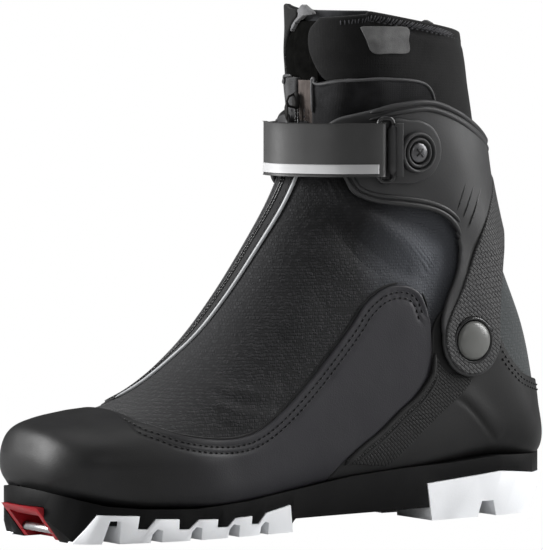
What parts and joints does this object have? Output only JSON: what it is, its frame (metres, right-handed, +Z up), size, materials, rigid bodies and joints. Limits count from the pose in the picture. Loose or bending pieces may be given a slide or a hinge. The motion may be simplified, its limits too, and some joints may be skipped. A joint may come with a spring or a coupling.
{
  "type": "cross country ski boot",
  "caption": "Left cross-country skating boot: hollow zipped upper with a hinged ankle cuff and strap, on a two-colour sole with a toe binding pin.",
  "frame": {"origin": "middle of the overall box in plan, on the ground under the treads", "axes": "+Z up, +X from toe to heel, -Y to the outer (lateral) side of this left boot"},
  "size_m": [0.3034, 0.0986, 0.256],
  "materials": {
    "softshell": "embossed softshell",
    "neoprene": "smooth neoprene",
    "felt": "brushed felt",
    "lining": "knit lining",
    "tape": "woven tape",
    "lace": "braided",
    "shell": "satin moulded",
    "rand": "matt moulded",
    "sole": "matt",
    "tread": "matt",
    "insert": "satin",
    "board": "fibre board",
    "foam": "foam with knit face",
    "strap": "coated webbing",
    "white": "welded band",
    "black": "gloss",
    "steel": "zinc plated",
    "rivet": "satin cap",
    "silver": "reflective piping"
  },
  "bodies": {
    "lower": {"outsole": "sole", "toe_binding_insert": "insert", "binding_pin": "steel", "forefoot_tread_lateral": "tread", "forefoot_tread_medial": "tread", "heel_tread": "tread", "arch_shank": "steel", "insole_board": "board", "footbed": "foam", "toe_puff": "board", "heel_stiffener": "board", "toe_rand": "rand", "gaiter_vamp": "softshell", "lining_foot": "lining", "tongue": "foam", "eyestay_lateral": "tape", "eyestay_medial": "tape", "lace": "lace", "heel_counter": "shell", "counter_band_lateral": "shell", "counter_band_medial": "shell", "gusset_front": "softshell", "gusset_rear": "softshell", "zip_tape_foot": "tape", "zip_chain_foot": "black", "zip_piping": "silver", "pivot_rivet_lateral": "rivet", "pivot_nut_lateral": "steel", "pivot_rivet_medial": "rivet", "pivot_nut_medial": "steel"},
    "cuff": {"zip_tape_shaft": "tape", "zip_chain_shaft": "black", "cuff_shell": "shell", "cuff_spine": "shell", "cuff_top_piping": "tape", "cuff_lower_piping_lateral": "tape", "cuff_lower_piping_medial": "tape", "pivot_bush_lateral": "black", "pivot_bush_medial": "black", "shaft_gaiter": "softshell", "felt_band": "felt", "collar": "neoprene", "collar_foam": "foam", "lining_shaft": "lining", "label_blank": "felt", "pull_tab": "tape", "strap_base": "strap", "strap_anchor_plate": "shell", "strap_anchor_screw": "steel", "strap_anchor_nut": "steel", "strap_medial_washer": "shell", "strap_medial_screw": "steel", "strap_medial_nut": "steel"},
    "strap_ring": {"strap_ring": "black"},
    "strap_tail": {"strap_tail": "strap", "strap_stripe": "white"},
    "zip_slider": {"zip_slider": "steel"},
    "zip_pull": {"zip_pull": "black"}
  },
  "joints": [
    {"name": "cuff_flex", "type": "hinge", "parent": "lower", "child": "cuff", "pos_m": [0.0861, 0.001, 0.089], "axis": [0, -1, 0], "range_deg": [-4, 16], "stiffness_Nm_per_rad": 12, "deforming": ["gusset_front", "gusset_rear"]},
    {"name": "ring_swing", "type": "hinge", "parent": "cuff", "child": "strap_ring", "pos_m": [0.039, -0.03973, 0.1845], "axis": [0, 0, 1], "range_deg": [0, 18]},
    {"name": "strap_peel", "type": "hinge", "parent": "strap_ring", "child": "strap_tail", "pos_m": [0.0318, -0.03807, 0.1845], "axis": [0, 0, 1], "range_deg": [0, 100]},
    {"name": "zip_slide", "type": "slide", "parent": "cuff", "child": "zip_slider", "axis": [0, 0, -1], "range_m": [0, 0.008]},
    {"name": "zip_pull_flip", "type": "hinge", "parent": "zip_slider", "child": "zip_pull", "pos_m": [0.0017, -0.001, 0.2079], "axis": [0, 1, 0], "range_deg": [0, 120]}
  ]
}
